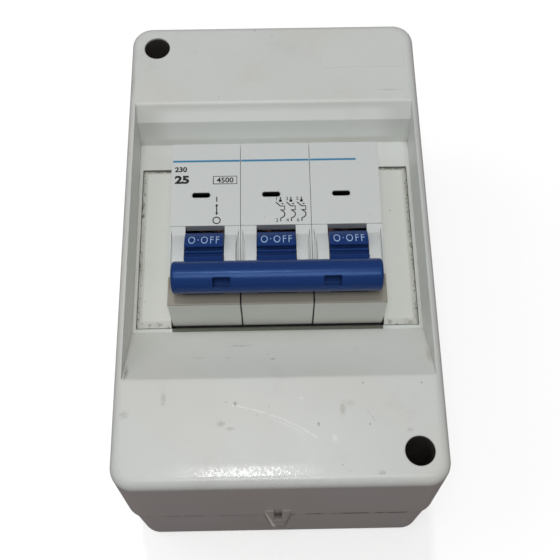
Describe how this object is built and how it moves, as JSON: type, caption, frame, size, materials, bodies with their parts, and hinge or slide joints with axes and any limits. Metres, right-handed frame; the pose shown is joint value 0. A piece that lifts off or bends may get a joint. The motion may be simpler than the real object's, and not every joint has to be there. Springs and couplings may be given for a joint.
{
  "type": "circuit breaker",
  "caption": "Surface-mounting enclosure with a rail-mounted miniature circuit breaker: tied rocking toggles in a recessed window, lift-off cover, screw terminals inside.",
  "frame": {"origin": "centre of the enclosure's flat back face, in the plane of the wall it is fixed to", "axes": "+X to the right seen from the front, +Y towards the enclosure's upper end, +Z out of the front, along the fixing screws"},
  "size_m": [0.0816, 0.1314, 0.0782],
  "materials": {
    "enclosure_plastic": "warm light grey moulded ABS, slightly soiled",
    "blank_plastic": "light grey moulded ABS",
    "breaker_plastic": "cool light grey thermoset, fine matt",
    "toggle_plastic": "dark blue moulded plastic, satin gloss",
    "inner_plastic": "natural nylon",
    "clip_plastic": "grey nylon",
    "copper": "copper",
    "steel": "plain steel",
    "spring_steel": "spring steel wire",
    "zinc_steel": "zinc plated steel sheet",
    "zinc_screw": "zinc plated screw",
    "bimetal": "two-layer strip",
    "vulcan_fibre": "red vulcanised fibre"
  },
  "bodies": {
    "root": {"base_box": "enclosure_plastic", "din_rail": "zinc_steel", "rail_screws": "zinc_screw", "pole_1_case": "breaker_plastic", "pole_2_case": "breaker_plastic", "pole_3_case": "breaker_plastic", "pole_1_side_lid": "breaker_plastic", "pole_2_side_lid": "breaker_plastic", "pole_3_side_lid": "breaker_plastic", "case_rivets": "steel", "toggle_pins": "steel", "arm_pins": "steel", "lever_pins": "steel", "toggle_springs": "spring_steel", "contact_springs": "spring_steel", "fixed_contacts": "copper", "line_terminal_bars": "copper", "load_terminal_bars": "copper", "arc_plates": "steel", "arc_chute_cheeks": "vulcan_fibre", "release_coils": "copper", "coil_yokes": "steel", "bimetal_strips": "bimetal", "setting_screws": "zinc_screw", "braids": "copper"},
    "cover": {"front_cover": "enclosure_plastic", "blanking_plate_left": "blank_plastic", "blanking_plate_right": "blank_plastic"},
    "cover_screw_upper": {"cover_screw_upper": "zinc_screw"},
    "cover_screw_lower": {"cover_screw_lower": "zinc_screw"},
    "switch": {"toggle_1": "toggle_plastic", "toggle_2": "toggle_plastic", "toggle_3": "toggle_plastic", "tie_bar": "toggle_plastic"},
    "contact_arm_1": {"contact_arm_1": "copper"},
    "plunger_1": {"plunger_1": "steel"},
    "trip_lever_1": {"trip_lever_1": "inner_plastic"},
    "rail_clip_1": {"rail_clip_1": "clip_plastic"},
    "contact_arm_2": {"contact_arm_2": "copper"},
    "plunger_2": {"plunger_2": "steel"},
    "trip_lever_2": {"trip_lever_2": "inner_plastic"},
    "rail_clip_2": {"rail_clip_2": "clip_plastic"},
    "contact_arm_3": {"contact_arm_3": "copper"},
    "plunger_3": {"plunger_3": "steel"},
    "trip_lever_3": {"trip_lever_3": "inner_plastic"},
    "rail_clip_3": {"rail_clip_3": "clip_plastic"},
    "terminal_screw_1": {"terminal_screw_1": "zinc_screw"},
    "terminal_clamp_1": {"terminal_clamp_1": "zinc_steel"},
    "terminal_screw_2": {"terminal_screw_2": "zinc_screw"},
    "terminal_clamp_2": {"terminal_clamp_2": "zinc_steel"},
    "terminal_screw_3": {"terminal_screw_3": "zinc_screw"},
    "terminal_clamp_3": {"terminal_clamp_3": "zinc_steel"},
    "terminal_screw_4": {"terminal_screw_4": "zinc_screw"},
    "terminal_clamp_4": {"terminal_clamp_4": "zinc_steel"},
    "terminal_screw_5": {"terminal_screw_5": "zinc_screw"},
    "terminal_clamp_5": {"terminal_clamp_5": "zinc_steel"},
    "terminal_screw_6": {"terminal_screw_6": "zinc_screw"},
    "terminal_clamp_6": {"terminal_clamp_6": "zinc_steel"}
  },
  "joints": [
    {"name": "toggle_swing", "type": "hinge", "parent": "root", "child": "switch", "pos_m": [0, -0.00875, 0.0647], "axis": [-1, 0, 0], "range_deg": [0, 71.4]},
    {"name": "cover_lift", "type": "slide", "parent": "root", "child": "cover", "axis": [0, 0, 1], "range_m": [0, 0.06]},
    {"name": "cover_screw_upper_turn", "type": "hinge", "parent": "cover", "child": "cover_screw_upper", "pos_m": [-0.032, 0.05675, 0.033], "axis": [0, 0, -1], "continuous": true},
    {"name": "cover_screw_lower_turn", "type": "hinge", "parent": "cover", "child": "cover_screw_lower", "pos_m": [0.032, -0.05675, 0.033], "axis": [0, 0, -1], "continuous": true},
    {"name": "contact_arm_1_swing", "type": "hinge", "parent": "root", "child": "contact_arm_1", "pos_m": [-0.0178, -0.00125, 0.0497], "axis": [1, 0, 0], "range_deg": [0, 10]},
    {"name": "plunger_1_strike", "type": "slide", "parent": "root", "child": "plunger_1", "axis": [0, -1, 0], "range_m": [0, 0.0022], "stiffness_N_per_m": 30, "springref_m": -0.001},
    {"name": "trip_lever_1_swing", "type": "hinge", "parent": "root", "child": "trip_lever_1", "pos_m": [-0.0178, 0.00918, 0.0547], "axis": [-1, 0, 0], "range_deg": [0, 12.5]},
    {"name": "rail_clip_1_slide", "type": "slide", "parent": "root", "child": "rail_clip_1", "axis": [0, -1, 0], "range_m": [0, 0.0034], "stiffness_N_per_m": 150, "springref_m": -0.002},
    {"name": "contact_arm_2_swing", "type": "hinge", "parent": "root", "child": "contact_arm_2", "pos_m": [0, -0.00125, 0.0497], "axis": [1, 0, 0], "range_deg": [0, 10]},
    {"name": "plunger_2_strike", "type": "slide", "parent": "root", "child": "plunger_2", "axis": [0, -1, 0], "range_m": [0, 0.0022], "stiffness_N_per_m": 30, "springref_m": -0.001},
    {"name": "trip_lever_2_swing", "type": "hinge", "parent": "root", "child": "trip_lever_2", "pos_m": [0, 0.00918, 0.0547], "axis": [-1, 0, 0], "range_deg": [0, 12.5]},
    {"name": "rail_clip_2_slide", "type": "slide", "parent": "root", "child": "rail_clip_2", "axis": [0, -1, 0], "range_m": [0, 0.0034], "stiffness_N_per_m": 150, "springref_m": -0.002},
    {"name": "contact_arm_3_swing", "type": "hinge", "parent": "root", "child": "contact_arm_3", "pos_m": [0.0178, -0.00125, 0.0497], "axis": [1, 0, 0], "range_deg": [0, 10]},
    {"name": "plunger_3_strike", "type": "slide", "parent": "root", "child": "plunger_3", "axis": [0, -1, 0], "range_m": [0, 0.0022], "stiffness_N_per_m": 30, "springref_m": -0.001},
    {"name": "trip_lever_3_swing", "type": "hinge", "parent": "root", "child": "trip_lever_3", "pos_m": [0.0178, 0.00918, 0.0547], "axis": [-1, 0, 0], "range_deg": [0, 12.5]},
    {"name": "rail_clip_3_slide", "type": "slide", "parent": "root", "child": "rail_clip_3", "axis": [0, -1, 0], "range_m": [0, 0.0034], "stiffness_N_per_m": 150, "springref_m": -0.002},
    {"name": "terminal_screw_1_turn", "type": "hinge", "parent": "root", "child": "terminal_screw_1", "pos_m": [-0.0178, 0.03325, 0.0462], "axis": [0, 0, -1], "range_deg": [0, 2430]},
    {"name": "terminal_clamp_1_rise", "type": "slide", "parent": "root", "child": "terminal_clamp_1", "axis": [0, 0, 1], "range_m": [0, 0.0054]},
    {"name": "terminal_screw_2_turn", "type": "hinge", "parent": "root", "child": "terminal_screw_2", "pos_m": [-0.0178, -0.02975, 0.0462], "axis": [0, 0, -1], "range_deg": [0, 2430]},
    {"name": "terminal_clamp_2_rise", "type": "slide", "parent": "root", "child": "terminal_clamp_2", "axis": [0, 0, 1], "range_m": [0, 0.0054]},
    {"name": "terminal_screw_3_turn", "type": "hinge", "parent": "root", "child": "terminal_screw_3", "pos_m": [0, 0.03325, 0.0462], "axis": [0, 0, -1], "range_deg": [0, 2430]},
    {"name": "terminal_clamp_3_rise", "type": "slide", "parent": "root", "child": "terminal_clamp_3", "axis": [0, 0, 1], "range_m": [0, 0.0054]},
    {"name": "terminal_screw_4_turn", "type": "hinge", "parent": "root", "child": "terminal_screw_4", "pos_m": [0, -0.02975, 0.0462], "axis": [0, 0, -1], "range_deg": [0, 2430]},
    {"name": "terminal_clamp_4_rise", "type": "slide", "parent": "root", "child": "terminal_clamp_4", "axis": [0, 0, 1], "range_m": [0, 0.0054]},
    {"name": "terminal_screw_5_turn", "type": "hinge", "parent": "root", "child": "terminal_screw_5", "pos_m": [0.0178, 0.03325, 0.0462], "axis": [0, 0, -1], "range_deg": [0, 2430]},
    {"name": "terminal_clamp_5_rise", "type": "slide", "parent": "root", "child": "terminal_clamp_5", "axis": [0, 0, 1], "range_m": [0, 0.0054]},
    {"name": "terminal_screw_6_turn", "type": "hinge", "parent": "root", "child": "terminal_screw_6", "pos_m": [0.0178, -0.02975, 0.0462], "axis": [0, 0, -1], "range_deg": [0, 2430]},
    {"name": "terminal_clamp_6_rise", "type": "slide", "parent": "root", "child": "terminal_clamp_6", "axis": [0, 0, 1], "range_m": [0, 0.0054]}
  ],
  "couplings": [
    {"joint": "contact_arm_1_swing", "follows": "toggle_swing", "ratio": 0.14006},
    {"joint": "trip_lever_1_swing", "follows": "plunger_1_strike", "rad_per_m": 93.458},
    {"joint": "contact_arm_2_swing", "follows": "toggle_swing", "ratio": 0.14006},
    {"joint": "trip_lever_2_swing", "follows": "plunger_2_strike", "rad_per_m": 93.458},
    {"joint": "contact_arm_3_swing", "follows": "toggle_swing", "ratio": 0.14006},
    {"joint": "trip_lever_3_swing", "follows": "plunger_3_strike", "rad_per_m": 93.458},
    {"joint": "terminal_screw_1_turn", "follows": "terminal_clamp_1_rise", "rad_per_m": 7854},
    {"joint": "terminal_screw_2_turn", "follows": "terminal_clamp_2_rise", "rad_per_m": 7854},
    {"joint": "terminal_screw_3_turn", "follows": "terminal_clamp_3_rise", "rad_per_m": 7854},
    {"joint": "terminal_screw_4_turn", "follows": "terminal_clamp_4_rise", "rad_per_m": 7854},
    {"joint": "terminal_screw_5_turn", "follows": "terminal_clamp_5_rise", "rad_per_m": 7854},
    {"joint": "terminal_screw_6_turn", "follows": "terminal_clamp_6_rise", "rad_per_m": 7854}
  ]
}
